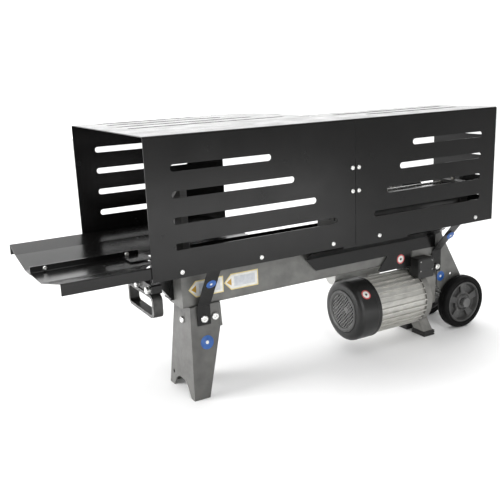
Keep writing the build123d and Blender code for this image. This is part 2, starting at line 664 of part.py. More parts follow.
def spool_spring():
    """Coil spring under the spool that lifts it back."""
    turns, z0, height = 5, VALVE_Z0 + 9.2, 15.6
    path = Helix(pitch=height / turns, height=height, radius=4.6)
    start = path @ 0
    section = Plane(origin=start, z_dir=path % 0) * Circle(0.8)
    return Pos(SPOOL_X, SPOOL_Y, z0) * sweep(section, path=path)


def lever_pin():
    """Pivot pin of the control lever, tight in the bracket's cheeks."""
    return rod("y", VALVE_Y0 + 3, VALVE_Y1 - 3, LEVER_PIN_X, LEVER_PIN_Z, 4.0)


def control_lever():
    """Bent flat lever: a nose over the spool, a boss on the pin and an arm out past the hood."""
    y0, y1 = 172.0, 180.0
    nose = [(740, 402), (752, 402), (766, 404), (766, 420), (752, 420), (740, 410)]
    body = prism("xz", nose, y0, y1)
    arm = [(752, 412), (766, 412), (742, 500), (728, 500)]
    body += prism("xz", arm, y0, y1)
    body += block(728, 742, y0, 262, 492, 500)
    return body - hole_y(LEVER_PIN_X, LEVER_PIN_Z, 4.0 + RUN, y0 - 1, y1 + 1)


def lever_knob():
    """Ball knob at the lever's end."""
    ball = Pos(735, 274, 496) * Sphere(17)
    return ball - block(728, 742, 200, 262, 492, 500)


def lever_guard():
    """Bent strap round the lever that stops it being knocked."""
    leg = block(690, 694, 150, 214, BED_TOP, 452)
    top = block(690, 725, 206, 214, 448, 452)
    plate = block(690, 804, 206, 210, 440, 452)
    end = block(800, 804, 176, 210, BED_TOP + 84, 452)
    return leg + top + plate + end


def switch_box():
    """Hollow switch box on the far side with its switch elements, bracket and cable gland."""
    x0, x1, y0, y1, z0, z1 = 812.0, 892.0, 158.0, 214.0, 330.0, 408.0
    box = fillet(block(x0, x1, y0, y1, z0, z1).edges().filter_by(Axis.Y), 14)
    box -= block(x0 + 4, x1 - 4, y0 + 4, y1 - 4, z0 + 14, z1 - 14)
    box -= block(x0 + 14, x1 - 14, y0 + 4, y1 - 4, z0 + 4, z1 - 4)
    for x in BUTTON_X:
        box -= rod("y", y1 - 6, y1 + 1, x, BUTTON_Z, BUTTON_R + 0.4)
    bracket = block(x0 + 20, x1 - 20, BED_Y1, y0, BED_TOP - 8, BED_TOP)
    bracket += block(x0 + 20, x1 - 20, y0 - 3, y0, BED_TOP - 8, z0 + 20)
    contacts = [block(x - 9, x + 9, y0 + 4, 195.5, BUTTON_Z - 12, BUTTON_Z + 12) for x in BUTTON_X]
    gland = Pos((x0 + x1) / 2, 186, z0 - 12) * extrude(RegularPolygon(11, 6), amount=12)
    gland -= rod("z", z0 - 13, z0 + 1, (x0 + x1) / 2, 186, 4.5)
    return group([box + bracket, gland] + contacts)


BUTTON_X = (834.0, 870.0)
BUTTON_Z = 372.0
BUTTON_R = 9.0


def button(x):
    """Push button with a collar inside the box."""
    collar = rod("y", 206.7, 209.7, x, BUTTON_Z, BUTTON_R + 2.5)
    return rod("y", 200, 219, x, BUTTON_Z, BUTTON_R) + collar


# ---------------------------------------------------------------- motor and pump
def motor_housing():
    """Aluminium motor housing with cooling fins along it."""
    body = tube("x", HOUSING_X0, HOUSING_X1, MOTOR_Y, MOTOR_Z, HOUSING_R, 64)
    fins = 30
    for i in range(fins):
        angle = 360.0 * i / fins
        fin = block(HOUSING_X0 + 12, HOUSING_X1, -1.3, 1.3, HOUSING_R - 1, FIN_R)
        body += Pos(0, MOTOR_Y, MOTOR_Z) * Rot(angle, 0, 0) * fin
    return body


def stator():
    """Laminated stator ring with winding ends."""
    ring = tube("x", CORE_X0, CORE_X1, MOTOR_Y, MOTOR_Z, 64, 43)
    ring += tube("x", CORE_X0 - 14, CORE_X0 + 1, MOTOR_Y, MOTOR_Z, 58, 46)
    return ring + tube("x", CORE_X1 - 1, CORE_X1 + 14, MOTOR_Y, MOTOR_Z, 58, 46)


def rotor():
    """Rotor core on the shaft."""
    return tube("x", CORE_X0, CORE_X1, MOTOR_Y, MOTOR_Z, 42.3, SHAFT_R)


def motor_shaft():
    """Shaft from the fan through the motor to the pump's drive gear."""
    shaft = rod("x", HOUSING_X0 + 4, CORE_X1, MOTOR_Y, MOTOR_Z, SHAFT_R)
    return shaft + rod("x", FAN_X0, PUMP_X1 - 9, MOTOR_Y, MOTOR_Z, SHAFT_END_R)


def bearings():
    """Outer and inner rings of both ball bearings, shown as one ring each."""
    rear = tube("x", HOUSING_X0 - 11, HOUSING_X0, MOTOR_Y, MOTOR_Z, SEAT_R, SHAFT_END_R + RUN)
    front = tube("x", HOUSING_X1 + 4, HOUSING_X1 + 15, MOTOR_Y, MOTOR_Z, SEAT_R, SHAFT_END_R + RUN)
    return group([rear, front])


def rear_shield():
    """End shield with the rear bearing seat, and the ring that centres the fan cover."""
    plate = rod("x", HOUSING_X0 - 13, HOUSING_X0, MOTOR_Y, MOTOR_Z, HOUSING_R)
    plate -= rod("x", HOUSING_X0 - 11, HOUSING_X0 + 1, MOTOR_Y, MOTOR_Z, SEAT_R)
    plate -= rod("x", HOUSING_X0 - 14, HOUSING_X0 - 10, MOTOR_Y, MOTOR_Z, 13)
    ring = tube("x", HOUSING_X0 + 2, HOUSING_X0 + 10, MOTOR_Y, MOTOR_Z, COVER_R - 3, HOUSING_R)
    return group([plate, ring])


def fan():
    """Cooling fan with straight blades."""
    disc = tube("x", 590, 593, MOTOR_Y, MOTOR_Z, 52, 8.5)
    disc += tube("x", 574, 591, MOTOR_Y, MOTOR_Z, 16, 8.5)
    for i in range(8):
        blade = block(576, 591, -1.2, 1.2, 15, 52)
        disc += Pos(0, MOTOR_Y, MOTOR_Z) * Rot(45.0 * i, 0, 0) * blade
    return disc


def fan_cover():
    """Round fan cover with a grille in its face, pushed over the housing's end."""
    shell = rod("x", COVER_X0, COVER_X1, MOTOR_Y, MOTOR_Z, COVER_R)
    front = [e for e in shell.edges().filter_by(GeomType.CIRCLE) if e.center().X < COVER_X0 + 1]
    shell = fillet(front, 18)
    inner = rod("x", COVER_X0 + 8, COVER_X1 + 1, MOTOR_Y, MOTOR_Z, COVER_R - 3)
    rear = [e for e in inner.edges().filter_by(GeomType.CIRCLE) if e.center().X < COVER_X0 + 9]
    shell -= fillet(rear, 15)
    shell -= tube("x", COVER_X0 - 1, COVER_X0 + 3, MOTOR_Y, MOTOR_Z, 55, 44)
    pitch, half = 8.0, 3.0
    x0, x1 = COVER_X0 - 1, COVER_X0 + 9
    for i in range(-5, 6):
        for j in range(-5, 6):
            if i * i + j * j < 26:
                y, z = MOTOR_Y + pitch * i, MOTOR_Z + pitch * j
                shell -= block(x0, x1, y - half, y + half, z - half, z + half)
    return shell


def motor_flange():
    """Cast end flange with the front bearing seat and an A-shaped foot."""
    flange = rod("x", HOUSING_X1, HOUSING_X1 + 18, MOTOR_Y, MOTOR_Z, FIN_R)
    flange += rod("x", HOUSING_X1 + 17, FLANGE_X1, MOTOR_Y, MOTOR_Z, 52)
    leg = [(MOTOR_Y - 22, 60), (MOTOR_Y + 22, 60), (MOTOR_Y + 56, PAD_H), (MOTOR_Y + 16, PAD_H)]
    leg += [(MOTOR_Y, 34), (MOTOR_Y - 16, PAD_H), (MOTOR_Y - 56, PAD_H)]
    flange += prism("yz", leg, HOUSING_X1 + 8, FLANGE_X1 + 10)
    flange -= rod("x", HOUSING_X1 + 4, HOUSING_X1 + 15, MOTOR_Y, MOTOR_Z, SEAT_R)
    flange -= rod("x", HOUSING_X1 - 1, HOUSING_X1 + 5, MOTOR_Y, MOTOR_Z, 36)
    return flange - rod("x", HOUSING_X1 + 12, FLANGE_X1 + 1, MOTOR_Y, MOTOR_Z, 10)


def foot_pads():
    """Rubber pads under the cast foot."""
    pads = []
    for y0 in (MOTOR_Y - 61, MOTOR_Y + 10):
        pad = block(HOUSING_X1 + 6, FLANGE_X1 + 14, y0, y0 + 51, 0, PAD_H)
        pads.append(fillet(pad.edges().filter_by(Axis.Z), 4))
    return group(pads)


def pump_body():
    """Gear pump body with a two-lobed gear chamber."""
    y, z = MOTOR_Y, MOTOR_Z
    body = block(FLANGE_X1, PUMP_X1 - 8, y - 30, y + 30, z - 32, z + 58)
    body = fillet(body.edges().filter_by(Axis.X), 12)
    for dz in (0, GEAR_CENTRES):
        body -= rod("x", FLANGE_X1 + 14, PUMP_X1 - 7, y, z + dz, GEAR_TIP_R + 0.4)
    body -= rod("x", FLANGE_X1 - 1, FLANGE_X1 + 15, y, z, 10)
    return body - rod("x", FLANGE_X1 + 6, FLANGE_X1 + 15, y, z + GEAR_CENTRES, 6 + RUN)


def pump_cover():
    """End cover of the pump with a blind hole for the driven gear's pin."""
    y, z = MOTOR_Y, MOTOR_Z
    cover = block(PUMP_X1 - 8, PUMP_X1, y - 30, y + 30, z - 32, z + 58)
    return fillet(cover.edges().filter_by(Axis.X), 12)


def pump_casing():
    """Pump body and its bolted end cover."""
    return group([pump_body(), pump_cover()])


def gear(turn):
    """Spur gear outline about the x axis, narrow-toothed so that a pair runs free."""
    points = []
    shape = ((GEAR_ROOT_R, -8.5), (GEAR_TIP_R, -3.2), (GEAR_TIP_R, 3.2), (GEAR_ROOT_R, 8.5))
    for tooth in range(GEAR_TEETH):
        centre = 360.0 * tooth / GEAR_TEETH + turn
        for radius, half in shape:
            angle = radians(centre + half)
            points.append((radius * cos(angle), radius * sin(angle)))
    return points


def drive_gear():
    """Pump gear on the motor shaft."""
    points = [(MOTOR_Y + p, MOTOR_Z + q) for p, q in gear(90.0)]
    wheel = prism("yz", points, FLANGE_X1 + 14.5, PUMP_X1 - 8.5)
    return wheel - rod("x", FLANGE_X1, PUMP_X1, MOTOR_Y, MOTOR_Z, 8.5)


def driven_gear():
    """Second pump gear, in mesh above the first, with its journal."""
    points = [(MOTOR_Y + p, MOTOR_Z + GEAR_CENTRES + q) for p, q in gear(90.0 + 180.0 / GEAR_TEETH)]
    wheel = prism("yz", points, FLANGE_X1 + 14.5, PUMP_X1 - 8.5)
    return wheel + rod("x", FLANGE_X1 + 6.5, FLANGE_X1 + 15, MOTOR_Y, MOTOR_Z + GEAR_CENTRES, 6)


def motor_hanger():
    """Bracket between the beam's underside and the motor flange."""
    post = block(HOUSING_X1, HOUSING_X1 + 18, 70, 140, 150, BEAM_Z0)
    return post - rod("x", HOUSING_X1 - 1, HOUSING_X1 + 19, MOTOR_Y, MOTOR_Z, FIN_R)


def capacitor():
    """Run capacitor's round can with its end cap, on a saddle on the far side of the housing."""
    y, z, radius = MOTOR_Y + 72, MOTOR_Z + 76, 21.0
    can = fillet(rod("x", 590, 735, y, z, radius).edges().filter_by(GeomType.CIRCLE), 4)
    cap = tube("x", 575, 596, y, z, radius + 1.6, radius) + rod("x", 572, 578, y, z, radius + 1.6)
    saddle = block(640, 680, -9, 9, FIN_R - 8, FIN_R + 13)
    saddle = Pos(0, MOTOR_Y, MOTOR_Z) * Rot(-43, 0, 0) * saddle
    saddle -= rod("x", 600, 740, y, z, radius)
    saddle -= rod("x", 600, 740, MOTOR_Y, MOTOR_Z, FIN_R + 0.1)
    return group([can, cap, saddle])


def terminal_box():
    """Connection box seated on the motor housing and its flange."""
    box = fillet(block(764, 818, 30, 64, 172, 225.5).edges().filter_by(Axis.Y), 5)
    return box - rod("x", 760, FLANGE_X1 + 5, MOTOR_Y, MOTOR_Z, FIN_R + 0.1)


def pipe(points, bend, radius, wall):
    """Steel pipe along a path with round bends."""
    path = FilletPolyline(*points, radius=bend)
    section = Plane(origin=path @ 0, z_dir=path % 0) * Circle(radius)
    hole = Plane(origin=path @ 0, z_dir=path % 0) * Circle(radius - wall)
    return sweep(section, path=path) - sweep(hole, path=path)


def pressure_pipe():
    """Steel pipe from the pump up to the valve."""
    y, z = MOTOR_Y, MOTOR_Z
    x = FLANGE_X1 + 22
    points = [(x, y + 30, z + 20), (x, SPOOL_Y, z + 20), (x, SPOOL_Y, 300)]
    points += [(SPOOL_X, SPOOL_Y, 300), (SPOOL_X, SPOOL_Y, VALVE_Z0)]
    return pipe(points, 14, 6, 1.5)


def cylinder_pipe():
    """Steel pipe from the valve to the rear head of the cylinder."""
    y, z, x = 166, CYL_Z + HEAD_HALF + 12, (CAP_X0 + CAP_X1) / 2
    points = [(VALVE_X1, y, 384), (790, y, 384), (790, y, z), (x, y, z), (x, MID_Y, z), (x, MID_Y, z - 12)]
    return pipe(points, 6, 5, 1.2)


def hydraulic_pipes():
    """Both steel pipes."""
    return group([pressure_pipe(), cylinder_pipe()])


def filler_plug():
    """Oil filler plug in the beam's motor end."""
    return hex_bolt("x", 1, BEAM_X1, *FILLER_AT, BEAM_WALL, 22, 10, FILLER_R)


NODES = {
    "guard_left_hood": left_hood,
    "guard_right_hood": right_hood,
    "guard_joining_plates": joining_plates,
    "guard_screws": guard_screws,
    "tray_near": tray_near,
    "tray_far": tray_far,
    "frame_bolts": frame_bolts,
    "bed_wing_near": bed_wing_near,
    "bed_wing_far": bed_wing_far,
    "support_brackets": support_brackets,
    "beam": beam,
    "bed_plate": bed_plate,
    "wedge": wedge,
    "end_bracket": end_bracket,
    "handle_loop": handle_loop,
    "front_leg": front_leg,
    "leg_bracket": leg_bracket,
    "side_shroud": side_shroud,
    "axle_plates": axle_plates,
    "axle": axle,
    "wheel_near_tyre": lambda: tyre(WHEEL_Y0, WHEEL_Y1),
    "wheel_near_hub": lambda: hub(WHEEL_Y0, WHEEL_Y1),
    "wheel_far_tyre": lambda: tyre(2 * MID_Y - WHEEL_Y1, 2 * MID_Y - WHEEL_Y0),
    "wheel_far_hub": lambda: hub(2 * MID_Y - WHEEL_Y1, 2 * MID_Y - WHEEL_Y0),
    "axle_caps": axle_caps,
    "cylinder_tube": cylinder_tube,
    "cylinder_heads": cylinder_heads,
    "tie_rods": tie_rods,
    "piston": piston,
    "piston_seal": piston_seal,
    "piston_rod": piston_rod,
    "pusher": pusher,
    "pusher_shoes": pusher_shoes,
    "valve_block": valve_block,
    "spool": spool,
    "spool_spring": spool_spring,
    "lever_pin": lever_pin,
    "control_lever": control_lever,
    "lever_knob": lever_knob,
    "lever_guard": lever_guard,
    "switch_box": switch_box,
    "start_button": lambda: button(BUTTON_X[0]),
    "stop_button": lambda: button(BUTTON_X[1]),
    "motor_housing": motor_housing,
    "stator": stator,
    "rotor": rotor,
    "motor_shaft": motor_shaft,
    "bearings": bearings,
    "rear_shield": rear_shield,
    "fan": fan,
    "fan_cover": fan_cover,
    "motor_flange": motor_flange,
    "foot_pads": foot_pads,
    "terminal_box": terminal_box,
    "capacitor": capacitor,
    "pump_casing": pump_casing,
    "drive_gear": drive_gear,
    "driven_gear": driven_gear,
    "hydraulic_pipes": hydraulic_pipes,
    "filler_plug": filler_plug,
}


def main():
    """Write every node to parts/."""
    os.makedirs("parts", exist_ok=True)
    for name, make in NODES.items():
        piece = Pos(-ORIGIN[0], -ORIGIN[1], -ORIGIN[2]) * make()
        export_step(piece, f"parts/{name}.step")


if __name__ == "__main__":
    main()
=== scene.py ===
import bpy
import bmesh
import json
import math
from mathutils import Matrix, Vector


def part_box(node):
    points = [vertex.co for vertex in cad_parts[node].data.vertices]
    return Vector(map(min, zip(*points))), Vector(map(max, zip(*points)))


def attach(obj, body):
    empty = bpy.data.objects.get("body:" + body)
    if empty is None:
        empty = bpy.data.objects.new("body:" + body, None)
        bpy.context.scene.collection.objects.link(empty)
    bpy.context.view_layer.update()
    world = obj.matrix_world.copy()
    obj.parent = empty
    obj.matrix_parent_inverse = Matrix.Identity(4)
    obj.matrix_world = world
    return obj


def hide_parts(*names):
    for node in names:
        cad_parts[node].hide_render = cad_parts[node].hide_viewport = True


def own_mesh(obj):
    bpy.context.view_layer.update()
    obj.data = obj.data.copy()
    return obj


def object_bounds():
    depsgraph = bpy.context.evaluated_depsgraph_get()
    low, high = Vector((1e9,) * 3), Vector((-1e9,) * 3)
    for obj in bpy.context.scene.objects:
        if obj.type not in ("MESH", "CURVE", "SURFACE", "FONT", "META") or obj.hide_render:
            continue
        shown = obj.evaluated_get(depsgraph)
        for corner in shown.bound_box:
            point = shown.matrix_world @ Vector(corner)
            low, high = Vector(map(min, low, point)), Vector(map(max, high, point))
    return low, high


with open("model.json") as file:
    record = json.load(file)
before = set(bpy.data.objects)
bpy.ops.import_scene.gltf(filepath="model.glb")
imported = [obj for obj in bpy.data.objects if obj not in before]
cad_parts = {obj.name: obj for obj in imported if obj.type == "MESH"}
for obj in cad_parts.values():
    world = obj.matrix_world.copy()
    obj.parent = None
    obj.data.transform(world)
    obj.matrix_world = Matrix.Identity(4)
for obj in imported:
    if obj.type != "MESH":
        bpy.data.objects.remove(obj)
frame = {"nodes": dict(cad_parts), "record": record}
CAD_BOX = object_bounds()
NODES = frame["nodes"]
MM = 0.001


# ------------------------------------------------------------------ materials
class Nodes:
    """A material's node tree with short calls for the nodes used here."""

    def __init__(self, name):
        self.mat = bpy.data.materials.new(name)
        self.mat.use_nodes = True
        self.tree = self.mat.node_tree
        self.bsdf = self.tree.nodes["Principled BSDF"]
        self.coord = self.tree.nodes.new("ShaderNodeTexCoord").outputs["Object"]

    def new(self, kind, **values):
        node = self.tree.nodes.new(kind)
        for key, value in values.items():
            if key in node.inputs:
                node.inputs[key].default_value = value
            else:
                setattr(node, key, value)
        return node

    def link(self, a, b):
        self.tree.links.new(a, b)

    def noise(self, scale, detail=3.0, rough=0.55, stretch=None):
        node = self.new("ShaderNodeTexNoise", Scale=scale, Detail=detail, Roughness=rough)
        if stretch:
            mapping = self.new("ShaderNodeMapping", Scale=stretch)
            self.link(self.coord, mapping.inputs["Vector"])
            self.link(mapping.outputs["Vector"], node.inputs["Vector"])
        else:
            self.link(self.coord, node.inputs["Vector"])
        return node.outputs["Fac"]

    def ramp(self, fac, stops):
        """Colour that runs between two (position, colour) stops."""
        node = self.new("ShaderNodeValToRGB")
        for element, (at, colour) in zip(node.color_ramp.elements, stops):
            element.position = at
            element.color = (*colour, 1.0)
        self.link(fac, node.inputs["Fac"])
        return node.outputs["Color"]

    def span(self, fac, low, high, start=0.3, stop=0.7):
        node = self.new("ShaderNodeMapRange")
        for key, value in (("From Min", start), ("From Max", stop), ("To Min", low), ("To Max", high)):
            node.inputs[key].default_value = value
        self.link(fac, node.inputs["Value"])
        return node.outputs["Result"]

    def mix(self, fac, a, b):
        """Colour socket a mixed with the fixed colour b."""
        node = self.new("ShaderNodeMix", data_type="RGBA")
        self.link(fac, node.inputs[0])
        self.link(a, node.inputs[6])
        node.inputs[7].default_value = (*b, 1.0)
        return node.outputs[2]

    def edges(self, radius, gain):
        """0 on flats, 1 on sharp edges, from the difference a rounded normal makes."""
        bevel = self.new("ShaderNodeBevel", samples=4, Radius=radius)
        geometry = self.new("ShaderNodeNewGeometry")
        dot = self.new("ShaderNodeVectorMath", operation="DOT_PRODUCT")
        self.link(bevel.outputs["Normal"], dot.inputs[0])
        self.link(geometry.outputs["Normal"], dot.inputs[1])
        node = self.new("ShaderNodeMapRange")
        for key, value in (("From Min", 0.999), ("From Max", 1 - gain), ("To Min", 0.0), ("To Max", 1.0)):
            node.inputs[key].default_value = value
        self.link(dot.outputs["Value"], node.inputs["Value"])
        return node.outputs["Result"]

    def bumps(self, *layers):
        """Stack of (height, strength, distance) on softened edges, ending in the shader's normal."""
        normal = self.new("ShaderNodeBevel", samples=4, Radius=0.0007).outputs["Normal"]
        for height, strength, distance in layers:
            node = self.new("ShaderNodeBump", Strength=strength, Distance=distance)
            self.link(height, node.inputs["Height"])
            self.link(normal, node.inputs["Normal"])
            normal = node.outputs["Normal"]
        self.link(normal, self.bsdf.inputs["Normal"])


def surface(name, low, high, rough, metallic=0.0, patch=18.0, grain=700.0, grain_depth=0.0001, edge_wear_and_highlight=None,
            ior=1.5, stretch=None, cells=None, dust=0.0, light_edge_width=0.0009, shine=0.5):
    """Finish with mottled colour, varied roughness, fine bumps and lighter edges, which are wear and, on
    the dark steel bar, a painted highlight.
    """
    n = Nodes(name)
    colour = n.ramp(n.noise(patch, 4.0), [(0.32, low), (0.68, high)])
    if dust:
        speck = n.noise(patch * 9, 5.0, 0.7)
        dusty = tuple(min(1.0, c * 1.6 + 0.03) for c in high)
        colour = n.mix(n.span(speck, 0.0, dust, 0.55, 0.75), colour, dusty)
    # Lighter edge colour: wear, and on the dark steel bar a painted highlight.
    if edge_wear_and_highlight:
        colour = n.mix(n.edges(light_edge_width, 0.35), colour, edge_wear_and_highlight)
    n.link(colour, n.bsdf.inputs["Base Color"])
    n.link(n.span(n.noise(patch * 2.3, 5.0, 0.6), rough[0], rough[1]), n.bsdf.inputs["Roughness"])
    n.bsdf.inputs["Metallic"].default_value = metallic
    n.bsdf.inputs["IOR"].default_value = ior
    n.bsdf.inputs["Specular IOR Level"].default_value = shine
    layers = [(n.noise(grain, 2.0, 0.5, stretch), 0.5, grain_depth)]
    if cells:
        cell_scale, cell_depth = cells
        node = n.new("ShaderNodeTexVoronoi", Scale=cell_scale, feature="SMOOTH_F1")
        n.link(n.coord, node.inputs["Vector"])
        layers.insert(0, (node.outputs["Distance"], 0.6, cell_depth))
    n.bumps(*layers)
    return n.mat


BLACK = surface("black_powder_coat", (0.0032, 0.0032, 0.0031), (0.0056, 0.0055, 0.0053), (0.19, 0.28),
                patch=7.0, grain=1400.0, grain_depth=0.000012, edge_wear_and_highlight=(0.035, 0.035, 0.035), dust=0.03,
                shine=0.25)
GREY = surface("grey_hammered_paint", (0.095, 0.095, 0.090), (0.138, 0.138, 0.13), (0.34, 0.5),
               patch=30.0, grain=900.0, grain_depth=0.00006, edge_wear_and_highlight=(0.30, 0.30, 0.29),
               cells=(210.0, 0.0003), metallic=0.1)
# Darker copy of the grey paint for the leg: the extra darkness is painted shade on the leg.
SHADED_LEG_GREY = surface("grey_leg_paint_darkened_for_shade", (0.066, 0.065, 0.062), (0.098, 0.097, 0.092), (0.36, 0.52),
                   patch=26.0, grain=900.0, grain_depth=0.00006, edge_wear_and_highlight=(0.28, 0.28, 0.27),
                   cells=(210.0, 0.0003), metallic=0.1)
ZINC = surface("bright_zinc", (0.62, 0.62, 0.60), (0.78, 0.78, 0.77), (0.20, 0.38), metallic=1.0,
               patch=120.0, grain=2500.0, grain_depth=0.00003, edge_wear_and_highlight=(0.86, 0.86, 0.85))
# Dark steel for the handle bar: its wide light edges are a painted highlight along the bar, partly wear.
DARK_STEEL = surface("blackened_steel_bar", (0.020, 0.020, 0.020), (0.045, 0.044, 0.042), (0.30, 0.46),
                     patch=60.0, metallic=0.5, grain=800.0, grain_depth=0.00008,
                     edge_wear_and_highlight=(0.72, 0.71, 0.70), light_edge_width=0.0022)
CHROME = surface("hard_chrome", (0.66, 0.67, 0.68), (0.74, 0.74, 0.75), (0.05, 0.12), metallic=1.0,
                 patch=40.0, grain=3000.0, grain_depth=0.00001)
STEEL = surface("machined_steel", (0.30, 0.30, 0.30), (0.42, 0.41, 0.40), (0.28, 0.45), metallic=1.0,
                patch=60.0, grain=500.0, grain_depth=0.00004, stretch=(1.0, 8.0, 8.0),
                edge_wear_and_highlight=(0.6, 0.6, 0.6))
ALUMINIUM = surface("cast_aluminium", (0.46, 0.455, 0.43), (0.58, 0.57, 0.535), (0.36, 0.54),
                    metallic=0.6, patch=45.0, grain=1100.0, grain_depth=0.00008,
                    edge_wear_and_highlight=(0.80, 0.79, 0.76))
CAST = surface("grey_casting", (0.16, 0.158, 0.148), (0.235, 0.23, 0.215), (0.44, 0.62), metallic=0.15,
               patch=35.0, grain=650.0, grain_depth=0.00018, edge_wear_and_highlight=(0.27, 0.265, 0.25))
PLASTIC = surface("moulded_black_plastic", (0.009, 0.009, 0.009), (0.015, 0.015, 0.0145), (0.30, 0.44),
                  patch=25.0, grain=1600.0, grain_depth=0.00005, edge_wear_and_highlight=(0.05, 0.05, 0.05), dust=0.06,
                  ior=1.42)
GREY_PLASTIC = surface("worn_grey_plastic", (0.030, 0.030, 0.0295), (0.056, 0.0555, 0.054),
                       (0.38, 0.55), patch=40.0, grain=1200.0, grain_depth=0.00006,
                       edge_wear_and_highlight=(0.16, 0.16, 0.155), dust=0.1)
GRILLE = surface("grille_wire", (0.052, 0.052, 0.051), (0.085, 0.085, 0.083), (0.35, 0.5), metallic=0.3,
                 patch=40.0, grain=1200.0, grain_depth=0.00006, edge_wear_and_highlight=(0.20, 0.20, 0.195), dust=0.08)
# Very dark plastic for the fan and the rear shield; on the fan inside its cover the extra darkness is
# painted shade.
DULL_BLACK_AND_SHADE = surface("dull_black_plastic_and_painted_shade", (0.0025, 0.0025, 0.0024), (0.005, 0.005, 0.0048),
                     (0.55, 0.7), patch=40.0, grain=1200.0, grain_depth=0.00006, dust=0.02, shine=0.15)
WIRE = surface("bright_wire", (0.20, 0.20, 0.195), (0.28, 0.28, 0.275), (0.3, 0.45), metallic=0.3,
               patch=40.0, grain=1200.0, grain_depth=0.00004)
CAP = surface("grey_axle_cap", (0.075, 0.075, 0.074), (0.11, 0.11, 0.108), (0.35, 0.5), patch=40.0,
              grain=1200.0, grain_depth=0.00005, edge_wear_and_highlight=(0.28, 0.28, 0.275), dust=0.1)
RUBBER = surface("black_rubber", (0.010, 0.010, 0.010), (0.021, 0.020, 0.019), (0.62, 0.8), patch=40.0,
                 grain=900.0, grain_depth=0.0001, dust=0.25)
TYRE = surface("tyre_rubber", (0.0025, 0.0025, 0.0024), (0.005, 0.0049, 0.0048), (0.5, 0.66),
               patch=50.0, grain=1000.0, grain_depth=0.00006, dust=0.025, shine=0.1)
CAN = surface("pale_plastic_can", (0.46, 0.46, 0.44), (0.55, 0.55, 0.53), (0.34, 0.48), patch=40.0,
              grain=1200.0, grain_depth=0.00004, edge_wear_and_highlight=(0.48, 0.48, 0.46), dust=0.15)
PIPE = surface("passivated_pipe", (0.26, 0.25, 0.22), (0.38, 0.37, 0.33), (0.30, 0.45), metallic=1.0,
               patch=70.0, grain=1500.0, grain_depth=0.00004, edge_wear_and_highlight=(0.5, 0.5, 0.47))
OILY = surface("oily_dark_paint", (0.012, 0.012, 0.0115), (0.024, 0.0235, 0.022), (0.26, 0.42),
               patch=30.0, grain=900.0, grain_depth=0.00006, edge_wear_and_highlight=(0.10, 0.10, 0.10), shine=0.4)
GREEN = surface("green_button_plastic", (0.012, 0.17, 0.04), (0.02, 0.23, 0.06), (0.22, 0.32),
                patch=60.0)
RED = surface("red_button_plastic", (0.38, 0.012, 0.01), (0.48, 0.02, 0.015), (0.22, 0.32), patch=60.0)
FILM_WHITE = surface("white_label_film", (0.60, 0.60, 0.57), (0.72, 0.72, 0.69), (0.32, 0.45),
                     patch=90.0, grain=1500.0, grain_depth=0.00002, dust=0.1)
FILM_PALE = surface("pale_label_film", (0.44, 0.46, 0.49), (0.55, 0.57, 0.59), (0.32, 0.45),
                    patch=140.0, grain=1500.0, grain_depth=0.00002, dust=0.1)
FILM_YELLOW = surface("yellow_label_film", (0.60, 0.49, 0.21), (0.72, 0.60, 0.28), (0.32, 0.45),
                      patch=90.0, grain=1500.0, grain_depth=0.00002, dust=0.1)
FILM_AMBER = surface("amber_label_film", (0.36, 0.20, 0.015), (0.48, 0.28, 0.03), (0.32, 0.45),
                     patch=90.0, grain=1500.0, grain_depth=0.00002)
FILM_BLUE = surface("blue_label_film", (0.010, 0.065, 0.25), (0.02, 0.10, 0.34), (0.30, 0.42),
                    patch=120.0, grain=1500.0, grain_depth=0.00002, dust=0.08)
FILM_RED = surface("red_label_film", (0.42, 0.05, 0.055), (0.55, 0.10, 0.10), (0.32, 0.45), patch=120.0,
                   grain=1500.0, grain_depth=0.00002)
FINISH = {
    "black_paint": BLACK, "grey_paint": GREY, "zinc": ZINC, "chrome": CHROME, "steel": STEEL,
    "aluminium": ALUMINIUM, "cast_grey": CAST, "black_plastic": PLASTIC, "rubber": RUBBER, "tyre": TYRE,
    "green_plastic": GREEN, "red_plastic": RED}
SPECIAL = {
    "front_leg": SHADED_LEG_GREY, "handle_loop": DARK_STEEL, "axle_caps": CAP, "fan": DULL_BLACK_AND_SHADE,
    "rear_shield": DULL_BLACK_AND_SHADE, "wedge": OILY, "capacitor": CAN, "hydraulic_pipes": PIPE,
    "cylinder_tube": OILY, "cylinder_heads": OILY, "pusher": OILY}

for entry in frame["record"]["subparts"]:
    mesh = NODES[entry["node"]].data
    mesh.materials.clear()
    mesh.materials.append(SPECIAL.get(entry["node"], FINISH[entry["material_slot"]]))


# ------------------------------------------------------------------ mesh tools
GUARD_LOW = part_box("guard_left_hood")[0]
CORNER = Vector((GUARD_LOW.x, GUARD_LOW.y, CAD_BOX[0].z))


def spot(x, y, z):
    """Millimetres from the guard's near corner at the wedge end, with z above the ground, as a point."""
    return CORNER + Vector((x, y, z)) * MM


def limits(points):
    """Lowest and highest corner of a group of points."""
    low = Vector(min(p[i] for p in points) for i in range(3))
    high = Vector(max(p[i] for p in points) for i in range(3))
    return low, high


